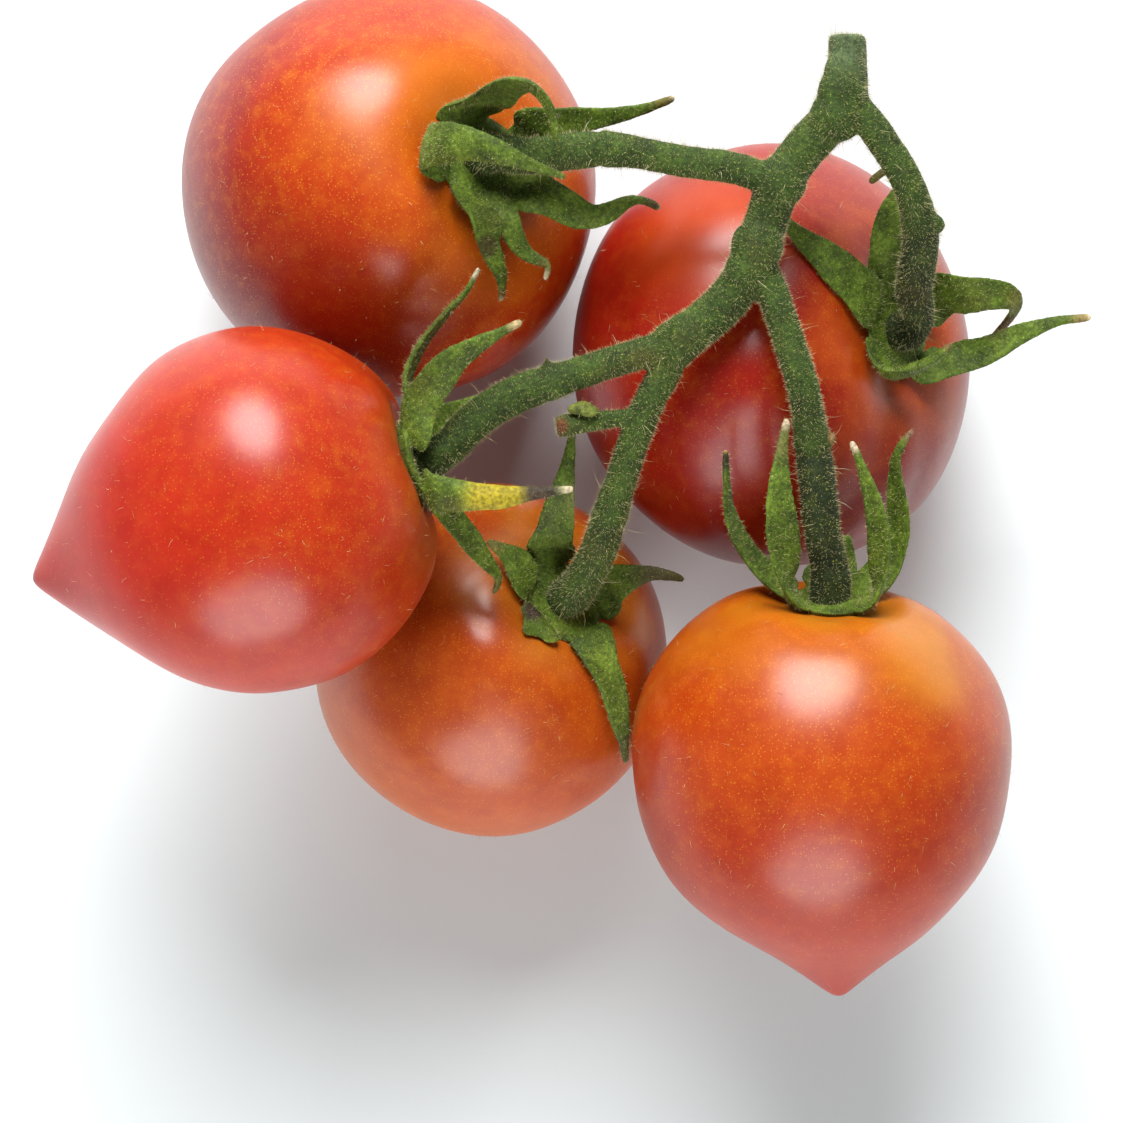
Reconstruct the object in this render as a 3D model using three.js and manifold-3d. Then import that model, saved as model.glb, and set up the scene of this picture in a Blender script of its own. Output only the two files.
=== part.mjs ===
// A truss of five beaked cherry tomatoes, cut with its vine and lying on a table.
// Millimetres, +Z up, the cut end of the vine towards +Y. The origin is on the table,
// under the middle of the truss.
import * as THREE from "three";
import { mergeVertices } from "three/addons/utils/BufferGeometryUtils.js";
import Module from "manifold-3d";

const wasm = await Module();
wasm.setup();

// Driving dimensions
const clearance = 0.3; // between neighbouring pieces
const contactSink = 0.25; // how far a resting tomato flattens against the table
const openGap = 3; // the gap between the back right and the centre tomato
const rachisRadius = 1.75; // main stem of the vine
const cutEndRadius = 1.95;
const branchRadius = 1.25; // side branches, before the knuckle
const knuckleRadius = 1.55;
const pedicelRadius = 1.45; // between the knuckle and the fruit
const receptacleRadius = 2.9; // disc that the sepals grow from
const receptacleFlare = 2.4; // length over which the pedicel widens into it
const stubRadius = 0.6; // stalk of the flower that never set
const sepalThickness = 0.75;
const sepalTipWidth = 0.7;

// Tomatoes: equatorial radius, length for the width, the way the stem end points, and how far the
// tip of the beak leans off that line.
const tomatoes = {
  back_left: { radius: 18.9, slimness: 1, stem: [0.5, 0.11, 0.86], lean: [0, 0, 0], colour: 0xb83a1c },
  back_right: { radius: 19.5, slimness: 0.88, stem: [0.69, 0.11, 0.71], lean: [0, 0, 0], colour: 0xa52a1a },
  centre: { radius: 16.2, slimness: 1, stem: [0.46, 0.38, 0.8], lean: [0, 0, 0], colour: 0xb2441c },
  left: { radius: 16.1, slimness: 1, stem: [0.95, 0.29, 0.08], lean: [0, 0, 0.8], colour: 0xc2402c },
  front_right: { radius: 17, slimness: 1, stem: [0.04, 0.955, 0.29], lean: [2.8, 0, 1.4], colour: 0xcc5a20 },
};

// Half of a tomato's outline, from the beak to the shoulder, as shares of its radius: [along, out].
const outline = [
  [-1.29, 0],
  [-1.27, 0.05],
  [-1.19, 0.145],
  [-1.03, 0.345],
  [-0.875, 0.57],
  [-0.72, 0.73],
  [-0.56, 0.84],
  [-0.41, 0.917],
  [-0.25, 0.971],
  [0, 1],
  [0.2, 0.985],
  [0.38, 0.92],
  [0.54, 0.825],
  [0.68, 0.705],
  [0.79, 0.575],
  [0.855, 0.43],
  [0.86, 0.32],
];
const dimpleFloor = 0.825;

// The main stem, from its cut end, as offsets from its seat. The seat is on top of the back right
// tomato, a little off its middle.
const seatOffset = [-0.5, 0.2];
const rachisPath = [
  [5.4, 26, 3.8],
  [5.3, 20.3, 3.4],
  [3.6, 18.4, 3],
  [1.5, 16.1, 2.6],
  [-0.2, 13.6, 2.1],
  [-1.2, 11, 1.7],
  [-2.2, 8, 1.4],
  [-3.6, 5, 1.1],
  [-5.8, 2.5, 0.9],
  [-7.9, 0.8, 0.8],
  [-10, -0.3, 0.8],
];

// Side branches: where each leaves the main stem, the way it goes, its knuckle and its pedicel.
// The first points are offsets from the seat, the last ones from the calyx of their tomato.
const branches = {
  back_left: {
    fromSeat: [[-0.2, 13.3, 2.3], [-3.6, 14.7, 2.6], [-7.9, 15.3, 2.6]],
    knuckle: [11.3, 0.2, 5.4],
    toCalyx: [[8.3, 0, 5], [4.6, -0.3, 3.6]],
  },
  back_right: {
    fromSeat: [[5.3, 21, 3.4], [7, 19, 3.6], [8.9, 16.3, 3.7], [10.6, 13.5, 3.5]],
    knuckle: [1.4, 8.6, 10.2],
    toCalyx: [[1.5, 6.3, 8.9], [1.1, 3.7, 6.2]],
  },
  left: {
    fromSeat: [[-7.9, 0.8, 0.8], [-10, -0.3, 0.8], [-13.9, -1.5, 1]],
    knuckle: [11.6, 6.9, -0.3],
    toCalyx: [[9, 6, -0.1], [5.6, 3.9, 0.1]],
  },
  centre: {
    fromSeat: [[-8.7, 0, 0.7], [-10.4, -3.2, 0.4], [-11.7, -5.7, 0]],
    knuckle: [3.95, 7.1, 7],
    toCalyx: [[3.2, 4.6, 5.4], [1.9, 2.2, 3.3]],
  },
  front_right: {
    fromSeat: [[-2.2, 7.3, 1.3], [-0.7, 3.8, 1.6], [0.6, -0.1, 1.8], [1.8, -4.1, 1.8]],
    knuckle: [-1.7, 13.6, 3.6],
    toCalyx: [[-1.2, 10.2, 2.9], [-0.7, 6, 1.8]],
  },
};

// The flower that never set: its stalk leaves the branch of the centre tomato.
const stubPath = [[-13.2, -6.4, -0.2], [-16.4, -6.8, 0.7], [-19.3, -7.3, 1]];
const budPath = [[-15.9, -6, 1.6], [-17.1, -5.6, 2.1], [-18.4, -5.9, 1.8]];
const budWidth = 1.9;

// Sepals: bearing round the stem in degrees, greatest width, cup depth, the way each goes, as
// offsets from the calyx, and the way its broad side has turned to face by its tip.
const sepals = {
  back_left: [
    { bearing: 36, width: 3.2, cup: 0.5, face: [0.5, -0.3, 0.8],
      path: [[0.5, -5.4, 3.2], [0.9, -7.7, 2.8], [2.3, -10.5, 1.2], [2.2, -12.6, 0.2]] },
    { bearing: 94, width: 4, cup: 0.6, face: [0, -0.3, 1],
      path: [[-4.6, 0.2, 4.4], [-2.6, 0.5, 8.2], [0.9, -0.2, 10.2], [4.3, -1.4, 10], [7.8, -2.6, 9]] },
    { bearing: 178, width: 4.4, cup: 0.9, face: [0.2, -0.6, 0.8],
      path: [[1, 4.8, 3.6], [2.6, 5.6, 7], [4.6, 5.6, 9.4], [6.3, 4, 9.6], [7, 0.6, 8]] },
    { bearing: 262, width: 3, cup: 0.4, face: [0, -0.4, 1],
      path: [[5.2, 2.7, 2.1], [8.1, 2.9, 2.6], [11.5, 3.2, 3.2], [15, 3.9, 3.8], [17.2, 4.7, 4.3]] },
    { bearing: 304, width: 3.6, cup: 0.6, face: [0, 0.2, 1],
      path: [[5.4, -3, 0.9], [7.9, -4.6, 1], [10.2, -5.5, 0.8], [12.2, -4.6, 0.8], [14, -3.6, 0.9], [16, -4.6, 0.9]] },
    { bearing: 350, width: 2.2, cup: 0.3, face: [0, 0.2, 1],
      path: [[2.7, -5.3, 1.6], [3.4, -7.3, 1.1], [4.6, -8.9, 0.8], [6.6, -9.4, 0.9], [6, -10.8, 1]] },
  ],
  back_right: [
    { bearing: 58, width: 3.4, cup: 0.9, face: [0, 0.5, 0.8],
      path: [[-1.7, -3.8, 3.6], [0.6, -3.7, 4.8], [2.6, -2.5, 4.8], [4.4, -0.9, 4.2]] },
    { bearing: 124, width: 4, cup: 0.5, face: [0, 0, 1],
      path: [[-4.9, 4.1, 4.3], [-7.4, 6.8, 5.3], [-9.8, 9, 5.9], [-11.1, 10.8, 6]] },
    { bearing: 178, width: 3.4, cup: 0.4, face: [-0.3, 0, 1],
      path: [[-1, 6.2, 2.6], [-0.6, 9.7, 3.8], [0.6, 12.3, 4.8], [1, 14.1, 5.3], [-0.4, 14.4, 5.3], [-2.6, 12.8, 4.8]] },
    { bearing: 240, width: 3.8, cup: 0.5, face: [0, -0.2, 1],
      path: [[4.6, 3.6, 0.6], [6.6, 3.3, 2], [8.8, 3.3, 2.4], [10.6, 2.8, 1.4], [10.2, 1.3, -0.4], [8.6, -0.6, -2.2]] },
    { bearing: 325, width: 3, cup: 0.5, face: [0, 0.2, 1],
      path: [[4.6, -2.9, -0.8], [7.6, -2, 0], [10.6, -0.4, 1.2], [13.8, 0.8, 2.2], [17, 1.2, 2.5]] },
  ],
  centre: [
    { bearing: 10, width: 3, cup: 0.5, face: [0.3, 0, 1],
      path: [[3.2, -5, 1.4], [3.7, -8, -0.2], [4.3, -11, -2.2], [5, -13.9, -4.4]] },
    { bearing: 88, width: 3.6, cup: 0.5, face: [-0.2, -0.2, 1],
      path: [[-3, -2.6, 2.4], [-4.4, -3.6, 2.4]] },
    { bearing: 148, width: 3, cup: 0.4, face: [0, 0, 1],
      path: [[-4.2, 3.6, 2.9], [-5.6, 4.8, 3.2], [-6.6, 5.4, 3.2]] },
    { bearing: 206, width: 3.8, cup: 0.9, face: [-0.2, -0.3, 1],
      path: [[-0.6, 6.4, 3.2], [-0.1, 9.1, 5.6], [0.6, 12.6, 6.8], [0.9, 15.2, 7.2]] },
    { bearing: 302, width: 3, cup: 0.5, face: [0, 0, 1],
      path: [[4.6, 1.6, 0.6], [6.2, 2.3, 2.4], [8.2, 2.6, 3.4], [10.7, 2, 3]] },
  ],
  left: [
    { bearing: 334, width: 3, cup: 0.6, face: [0.6, 0, 0.8],
      path: [[2.8, -4.2, -2.2], [4.6, -6.4, -3.4], [6.4, -8.6, -4.6], [7.6, -9.8, -5.6], [6.9, -11.2, -6]] },
    { bearing: 50, width: 2.8, cup: 0.5, face: [0, 0.2, 1],
      path: [[2.6, -2.6, 3.8], [5, -2.8, 4.4], [7.8, -2.9, 4], [10.9, -2.5, 3.6], [13.9, -2.2, 3]] },
    { bearing: 126, width: 3.6, cup: 0.5, face: [0.2, -0.2, 1],
      path: [[1.2, 5.4, 3.9], [3.4, 8.3, 5.1], [6.3, 10.2, 5.9], [9.5, 11.9, 5.9]] },
    { bearing: 186, width: 3, cup: 0.4, face: [0.9, -0.4, 0.2],
      path: [[-0.6, 7.5, -0.6], [0.9, 10.6, -0.4], [3.1, 13.1, 0.4], [4.9, 14.9, 1.2], [5.8, 16.7, 1.9]] },
    { bearing: 246, width: 3, cup: 0.4, face: [0, -0.5, 1],
      path: [[3.6, 4.4, -4.2], [6.2, 5.7, -4.6], [8.4, 6.2, -4.4]] },
  ],
  front_right: [
    { bearing: 34, width: 3.2, cup: 0.6, face: [-0.5, 0, 1],
      path: [[4.3, 3.6, 4], [4, 7.1, 5.2], [2.9, 10.5, 5.8], [1.5, 14, 5.9]] },
    { bearing: 142, width: 4, cup: 0.7, face: [0.2, 0, 1],
      path: [[-4.3, 3.6, 4.4], [-4.7, 7, 6], [-4.8, 10, 6.5], [-4.5, 13, 6.3], [-4, 15.9, 5.7]] },
    { bearing: 200, width: 2.8, cup: 0.4, face: [0.8, 0, 0.6],
      path: [[-6.2, 3.2, -1], [-7.8, 5.2, 0], [-8.9, 7.8, 1.2], [-9.1, 10.6, 2.7], [-9.2, 13.3, 3.7]] },
    { bearing: 266, width: 3.6, cup: 0.4, face: [0, -0.4, 1],
      path: [[0.8, 3.4, -4.6], [1.8, 6, -4.4]] },
    { bearing: 324, width: 3.2, cup: 0.5, face: [-0.6, 0, 0.8],
      path: [[5.9, 4.4, -2], [6.3, 7.4, -1.2], [5.9, 10.4, -0.3], [5.7, 13, 0.7], [7.2, 15.1, 1.2]] },
  ],
};

// Colours
const vineGreen = 0x525f2a;
const pedicelGreen = 0x475327;
const sepalGreen = 0x6d7d2f;
const stubBrown = 0x7a5a38;

// How finely each shape is made
const tomatoSides = 28;
const tubeSides = 10;
const tubeSpacing = 1.8;
const sepalSides = 8;
const sepalSpacing = 1.5;
const turnRate = 0.3; // share of the way that a leaf turns to face at each step

const up = new THREE.Vector3(0, 0, 1);
const vector = (point) => new THREE.Vector3(...point);
const curveThrough = (points) => new THREE.CatmullRomCurve3(points, false, "centripetal");

function mesh(name, geometry, colour, roughness) {
  const material = new THREE.MeshStandardMaterial({ color: colour, roughness, metalness: 0 });
  const piece = new THREE.Mesh(geometry, material);
  piece.name = name;
  return piece;
}

function solid(geometry) {
  const bare = geometry.clone();
  bare.deleteAttribute("normal");
  bare.deleteAttribute("uv");
  const merged = mergeVertices(bare, 1e-4);
  return new wasm.Manifold(
    new wasm.Mesh({
      numProp: 3,
      vertProperties: new Float32Array(merged.attributes.position.array),
      triVerts: new Uint32Array(merged.index.array),
    }),
  );
}

function geometryOf(made) {
  const { vertProperties, triVerts } = made.getMesh();
  const geometry = new THREE.BufferGeometry();
  geometry.setAttribute("position", new THREE.BufferAttribute(vertProperties, 3));
  geometry.setIndex(new THREE.BufferAttribute(triVerts, 1));
  geometry.computeVertexNormals();
  return geometry;
}

// Tomatoes

// The outline in millimetres, beak first, closed by the flat floor of the stem dimple.
function profileOf({ radius, slimness }) {
  const length = radius * slimness;
  const profile = outline.map(([along, out]) => new THREE.Vector2(out * radius, along * length));
  profile.push(new THREE.Vector2(receptacleRadius + clearance, dimpleFloor * length));
  profile.push(new THREE.Vector2(0, dimpleFloor * length));
  return profile;
}

// How far the middle of a tomato has leaned aside, at a distance along it from its widest place.
function leanAt(tomato, along) {
  const share = Math.min(0, along) / tomato.profile[0].y;
  return tomato.aside.clone().multiplyScalar(share * share);
}

// How far a point lies outside a tomato, and the way straight out from there.
function outside(tomato, point) {
  const from = point.clone().sub(tomato.centre);
  const along = from.dot(tomato.axis);
  from.sub(leanAt(tomato, along));
  const out = from.clone().addScaledVector(tomato.axis, -along);
  const here = new THREE.Vector2(out.length(), along);
  out.normalize();
  let best = { distance: Infinity };
  for (let i = 1; i < tomato.profile.length; i += 1) {
    const a = tomato.profile[i - 1];
    const edge = tomato.profile[i].clone().sub(a);
    const share = THREE.MathUtils.clamp(here.clone().sub(a).dot(edge) / edge.lengthSq(), 0, 1);
    const away = here.clone().sub(a).addScaledVector(edge, -share);
    if (away.length() < best.distance) best = { distance: away.length(), away, edge };
  }
  const normal = new THREE.Vector2(best.edge.y, -best.edge.x).normalize();
  const inside = best.away.dot(normal) < 0;
  const flat = best.distance > 1e-6 && !inside ? best.away.clone().normalize() : normal;
  const way = out.multiplyScalar(flat.x).addScaledVector(tomato.axis, flat.y).normalize();
  return { distance: inside ? -best.distance : best.distance, way };
}

// A lathe turned to its stem, with its beak leaned aside.
function tomatoGeometry(tomato) {
  const turn = new THREE.Quaternion().setFromUnitVectors(new THREE.Vector3(0, 1, 0), tomato.axis);
  const geometry = new THREE.LatheGeometry(tomato.profile, tomatoSides).applyQuaternion(turn);
  const { position } = geometry.attributes;
  const place = new THREE.Vector3();
  for (let i = 0; i < position.count; i += 1) {
    place.fromBufferAttribute(position, i);
    place.add(leanAt(tomato, place.dot(tomato.axis)));
    position.setXYZ(i, place.x, place.y, place.z);
  }
  return geometry;
}

function skinPoints({ geometry }) {
  const { position } = geometry.attributes;
  return Array.from({ length: position.count }, (_, i) =>
    new THREE.Vector3().fromBufferAttribute(position, i),
  );
}

function makeTomato(name) {
  const size = tomatoes[name];
  const tomato = { ...size, axis: vector(size.stem).normalize(), profile: profileOf(size) };
  tomato.aside = vector(size.lean).projectOnPlane(tomato.axis);
  tomato.geometry = tomatoGeometry(tomato);
  tomato.skin = skinPoints(tomato);
  tomato.restHeight = -Math.min(...tomato.skin.map((point) => point.z)) - contactSink;
  tomato.centre = new THREE.Vector3(0, 0, tomato.restHeight);
  return tomato;
}

const gapBetween = (a, b) =>
  Math.min(...a.skin.map((point) => outside(b, point.clone().add(a.centre)).distance));

// Brings a tomato in towards another one along a line, until it is the gap away from the nearest.
function setBeside(tomato, base, direction, gap, others) {
  const way = vector(direction).normalize();
  const start = base.centre.clone();
  if (!way.z) start.z = tomato.restHeight;
  let reach = 2 * (tomato.radius + base.radius);
  let spare = Infinity;
  while (spare > 1e-3) {
    tomato.centre = start.clone().addScaledVector(way, reach);
    spare = Math.min(
      gapBetween(tomato, base) - gap,
      ...others.map((other) => gapBetween(tomato, other) - clearance),
    );
    reach -= spare;
  }
}

const fruit = Object.fromEntries(Object.keys(tomatoes).map((name) => [name, makeTomato(name)]));
setBeside(fruit.back_right, fruit.back_left, [34.3, -14.6, 0], clearance, []);
setBeside(fruit.centre, fruit.back_right, [-26.3, -28.1, 0], openGap, [fruit.back_left]);
setBeside(fruit.left, fruit.centre, [-19.3, 13, 21.8], clearance, [fruit.back_left, fruit.back_right]);
setBeside(fruit.front_right, fruit.centre, [29.5, -8.7, 13.6], clearance, [fruit.back_right, fruit.left]);
const allFruit = Object.values(fruit);

// The calyx stands on the floor of the stem dimple.
for (const tomato of allFruit) {
  const height = dimpleFloor * tomato.radius * tomato.slimness + clearance;
  tomato.calyx = tomato.centre.clone().addScaledVector(tomato.axis, height);
}

// Bent shapes

// Frames along a curve: the point, the way on, and two directions square to it. The first side
// direction is carried along, and turns so that the broad side comes to face a given way.
function framesAlong(curve, steps, firstSide, face) {
  const frames = [];
  let side = firstSide.clone();
  for (let i = 0; i <= steps; i += 1) {
    const way = curve.getTangentAt(i / steps);
    if (face) {
      const wanted = face.clone().cross(way).normalize();
      if (wanted.dot(side) < 0) wanted.negate();
      side = side.clone().lerp(wanted, turnRate);
    }
    side = side.clone().projectOnPlane(way).normalize();
    frames.push({ point: curve.getPointAt(i / steps), way, side, over: side.clone().cross(way) });
  }
  return frames;
}

// A closed cylinder bent along frames. shape(share, angle) gives [sideways, over] at each vertex.
function bend(frames, sides, shape) {
  const geometry = new THREE.CylinderGeometry(1, 1, 1, sides, frames.length - 1);
  const { position } = geometry.attributes;
  for (let i = 0; i < position.count; i += 1) {
    const share = position.getY(i) + 0.5;
    const frame = frames[Math.round(share * (frames.length - 1))];
    const size = Math.hypot(position.getX(i), position.getZ(i));
    const angle = Math.atan2(position.getZ(i), position.getX(i));
    const [sideways, over] = shape(share, angle).map((value) => value * size);
    const place = frame.point.clone();
    place.addScaledVector(frame.side, sideways).addScaledVector(frame.over, over);
    position.setXYZ(i, place.x, place.y, place.z);
  }
  return geometry;
}

function tube(curve, radiusAt) {
  const steps = Math.max(3, Math.round(curve.getLength() / tubeSpacing));
  const way = curve.getTangentAt(0);
  const firstSide = Math.abs(way.z) < 0.9 ? up.clone().cross(way) : new THREE.Vector3(1, 0, 0);
  const frames = framesAlong(curve, steps, firstSide);
  return bend(frames, tubeSides, (share, angle) => {
    const radius = radiusAt(share);
    return [radius * Math.cos(angle), radius * Math.sin(angle)];
  });
}

// Moves the points of a stem's centre line out of the tomatoes.
function clearStem(points, radius, keepOff) {
  for (const point of points) {
    for (const tomato of keepOff) {
      const { distance, way } = outside(tomato, point);
      const short = radius + clearance - distance;
      if (short > 0) point.addScaledVector(way, short);
    }
  }
  return points;
}

// The vine

// The main stem lies over the highest point of the back right tomato.
const highest = Math.max(...fruit.back_right.skin.map((point) => point.z));
const seat = fruit.back_right.centre.clone();
seat.add(new THREE.Vector3(...seatOffset, highest + clearance + rachisRadius));
const fromSeat = (points) => points.map((point) => vector(point).add(seat));

const rachis = curveThrough(clearStem(fromSeat(rachisPath), rachisRadius, allFruit));
const stemPieces = [{ centreLine: rachis, radius: rachisRadius }];
const vineParts = [
  tube(rachis, (share) => THREE.MathUtils.lerp(cutEndRadius, rachisRadius, Math.min(1, share * 6))),
];
const pedicels = [];

for (const [name, branch] of Object.entries(branches)) {
  const tomato = fruit[name];
  const near = (points) => points.map((point) => vector(point).add(tomato.calyx));
  const knuckle = near([branch.knuckle])[0];
  const points = [...fromSeat(branch.fromSeat), knuckle, ...near(branch.toCalyx)];
  clearStem(points, knuckleRadius, allFruit);
  const landing = [1, 0.3, 0].map((share) =>
    tomato.calyx.clone().addScaledVector(tomato.axis, receptacleFlare * share),
  );
  const whole = curveThrough([...points, ...landing]);

  // The whole line is parted at the knuckle, where the fruit breaks off. Both ends stand square to
  // the line there.
  const fine = whole.getSpacedPoints(Math.round(whole.getLength() / tubeSpacing) * 4);
  const reach = fine.map((point) => point.distanceTo(knuckle));
  const cut = reach.indexOf(Math.min(...reach));
  const onward = fine[cut + 1].clone().sub(fine[cut - 1]).normalize();
  const offCut = (distance) => fine[cut].clone().addScaledVector(onward, distance);
  const upper = [...fine.slice(0, cut - 1), offCut(-2 * clearance), offCut(-clearance / 2)];
  const lower = [offCut(clearance / 2), offCut(2 * clearance), ...fine.slice(cut + 2)];

  const proximal = curveThrough(upper);
  const swell = (share) => THREE.MathUtils.smoothstep(share, 0.82, 1);
  vineParts.push(
    tube(proximal, (share) => THREE.MathUtils.lerp(branchRadius, knuckleRadius, swell(share))),
  );
  stemPieces.push({ centreLine: proximal, radius: branchRadius });

  const distal = curveThrough(lower);
  const flareStart = 1 - receptacleFlare / distal.getLength();
  const flare = (share) => THREE.MathUtils.smoothstep(share, flareStart, 1);
  const stalk = tube(distal, (share) => THREE.MathUtils.lerp(pedicelRadius, receptacleRadius, flare(share)));
  pedicels.push(mesh(`pedicel_${name}`, stalk, pedicelGreen, 0.7));
  stemPieces.push({ centreLine: distal, radius: pedicelRadius, owner: name });
}

const stub = curveThrough(clearStem(fromSeat(stubPath), stubRadius, allFruit));
stemPieces.push({ centreLine: stub, radius: stubRadius });
vineParts.push(tube(stub, (share) => stubRadius * (1 + 0.5 * share)));
const vineSolid = vineParts.map(solid).reduce((sum, next) => sum.add(next));

// Sepals

const stemSamples = stemPieces.flatMap(({ centreLine, radius, owner }) =>
  centreLine.getSpacedPoints(Math.ceil(centreLine.getLength())).map((point) => ({ point, radius, owner })),
);

// The leaves already made, each as the short lines across it, and a sphere around them all.
const blades = [];
const nearest = new THREE.Vector3();

// The strongest of the pushes that take a point clear of the tomatoes, stems and other leaves.
function pushFor(point, ring) {
  const push = new THREE.Vector3();
  const keepFrom = (place, reach) => {
    const away = point.clone().sub(place);
    const short = reach + clearance - away.length();
    if (short > push.length()) push.copy(away.setLength(short));
  };
  for (const tomato of allFruit) {
    const { distance, way } = outside(tomato, point);
    if (distance < clearance) push.addScaledVector(way, clearance - distance);
  }
  if (ring > 1) stemSamples.forEach((stem) => keepFrom(stem.point, stem.radius));
  for (const { around, ribs } of blades) {
    if (ring < 1 || around.distanceToPoint(point) > clearance + sepalThickness) continue;
    ribs.forEach((rib) => keepFrom(rib.closestPointToPoint(point, true, nearest), sepalThickness / 2));
  }
  return push;
}

function bladeOf(frames, shape) {
  const last = frames.length - 1;
  const ribs = [];
  const edges = frames.map(({ point, side, over }, i) => {
    const [half, lift] = shape(i / last, 0);
    const middle = point.clone();
    const left = middle.clone().addScaledVector(side, -half).addScaledVector(over, lift);
    const right = middle.clone().addScaledVector(side, half).addScaledVector(over, lift);
    return { left, middle, right };
  });
  for (let i = 0; i < last; i += 1) {
    for (let share = 0; share < 1; share += 1 / 3) {
      const at = (name) => edges[i][name].clone().lerp(edges[i + 1][name], share);
      ribs.push(new THREE.Line3(at("left"), at("middle")), new THREE.Line3(at("middle"), at("right")));
    }
  }
  const around = new THREE.Sphere().setFromPoints(ribs.flatMap(({ start, end }) => [start, end]));
  return { around, ribs };
}

// A leaf is a lens in section, cupped towards its middle, widest near its base and fine at its tip.
function leafShape(leaf, baseHalf) {
  return (share, angle) => {
    const belly = THREE.MathUtils.smoothstep(share, 0, 0.2);
    const taper = 1 - THREE.MathUtils.smoothstep(share, 0.35, 1);
    const blade = THREE.MathUtils.lerp(sepalTipWidth / 2, leaf.width / 2, taper);
    const half = THREE.MathUtils.lerp(baseHalf, blade, belly);
    const across = Math.cos(angle);
    const thick = (sepalThickness / 2) * (1 - 0.35 * share);
    const cup = leaf.cup * belly * taper * across * across;
    return [half * across, thick * Math.sin(angle) + cup];
  };
}

function clearLeaf(frames, shape) {
  const last = frames.length - 1;
  for (let round = 0; round < 6; round += 1) {
    const pushes = frames.map((frame, i) => {
      let strongest = new THREE.Vector3();
      for (let k = 0; k < sepalSides; k += 1) {
        const [sideways, over] = shape(i / last, (k / sepalSides) * 2 * Math.PI);
        const place = frame.point.clone();
        place.addScaledVector(frame.side, sideways).addScaledVector(frame.over, over);
        const push = pushFor(place, i);
        if (push.length() > strongest.length()) strongest = push;
      }
      return strongest;
    });
    frames.forEach((frame, i) => {
      const around = pushes[Math.max(i - 1, 0)].clone().add(pushes[Math.min(i + 1, last)]);
      const smooth = around.multiplyScalar(0.25).addScaledVector(pushes[i], 0.5);
      frame.point.add(round < 3 && i > 1 ? smooth : pushes[i]);
    });
  }
  return frames;
}

function makeLeaf(leaf, points, firstSide, baseHalf) {
  const curve = curveThrough(points);
  const steps = Math.max(4, Math.round(curve.getLength() / sepalSpacing));
  const shape = leafShape(leaf, baseHalf);
  const frames = framesAlong(curve, steps, firstSide, vector(leaf.face));
  clearLeaf(frames, shape);
  blades.push(bladeOf(frames, shape));
  return bend(frames, sepalSides, shape);
}

const sepalMeshes = [];
for (const [name, leaves] of Object.entries(sepals)) {
  const tomato = fruit[name];
  const flatSide = tomato.axis.clone().cross(up).normalize();
  const rise = flatSide.clone().cross(tomato.axis);
  leaves.forEach((leaf, i) => {
    const before = leaves[(i + leaves.length - 1) % leaves.length].bearing;
    const after = leaves[(i + 1) % leaves.length].bearing;
    const spread = (turn) => ((turn % 360) + 360) % 360;
    const sector = Math.min(spread(leaf.bearing - before), spread(after - leaf.bearing));
    const halfSector = THREE.MathUtils.degToRad(sector / 2);
    const start = receptacleRadius + clearance;
    const baseHalf = Math.min(
      start * Math.tan(halfSector) - clearance / 2 / Math.cos(halfSector),
      leaf.width * 0.6,
    );
    const bearing = THREE.MathUtils.degToRad(leaf.bearing);
    const outward = flatSide.clone().multiplyScalar(Math.cos(bearing));
    outward.addScaledVector(rise, Math.sin(bearing));
    const root = [start, start + 1.4].map((out, k) =>
      tomato.calyx.clone().addScaledVector(outward, out).addScaledVector(tomato.axis, 0.6 + 0.5 * k),
    );
    const firstSide = outward.clone().cross(tomato.axis);
    const path = [...root, ...leaf.path.map((point) => vector(point).add(tomato.calyx))];
    const geometry = makeLeaf(leaf, path, firstSide, baseHalf);
    sepalMeshes.push(mesh(`sepal_${name}_${i + 1}`, geometry, sepalGreen, 0.65));
  });
}

// The small leafy bud on the withered flower's stalk
const budLeaf = { width: budWidth, cup: 0.3, face: [0, 0, 1] };
const budGeometry = makeLeaf(budLeaf, fromSeat(budPath), new THREE.Vector3(0, 0, 1), budWidth / 3);

// The whole truss

const truss = new THREE.Group();
for (const [name, tomato] of Object.entries(fruit)) {
  tomato.geometry.translate(...tomato.centre.toArray());
  let geometry = tomato.geometry;
  const lowest = tomato.centre.z + Math.min(...tomato.skin.map((point) => point.z));
  if (lowest < 0) {
    const table = new THREE.BoxGeometry(200, 200, 20).translate(0, 0, -10);
    geometry = geometryOf(solid(geometry).subtract(solid(table)));
  }
  truss.add(mesh(`tomato_${name}`, geometry, tomato.colour, 0.3));
}
truss.add(mesh("vine", geometryOf(vineSolid), vineGreen, 0.75));
truss.add(...pedicels, ...sepalMeshes);
truss.add(mesh("withered_flower", budGeometry, stubBrown, 0.8));

const box = new THREE.Box3().setFromObject(truss);
const middle = box.getCenter(new THREE.Vector3());
truss.position.set(-middle.x, -middle.y, 0);

export default truss;
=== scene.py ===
import math

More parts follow.
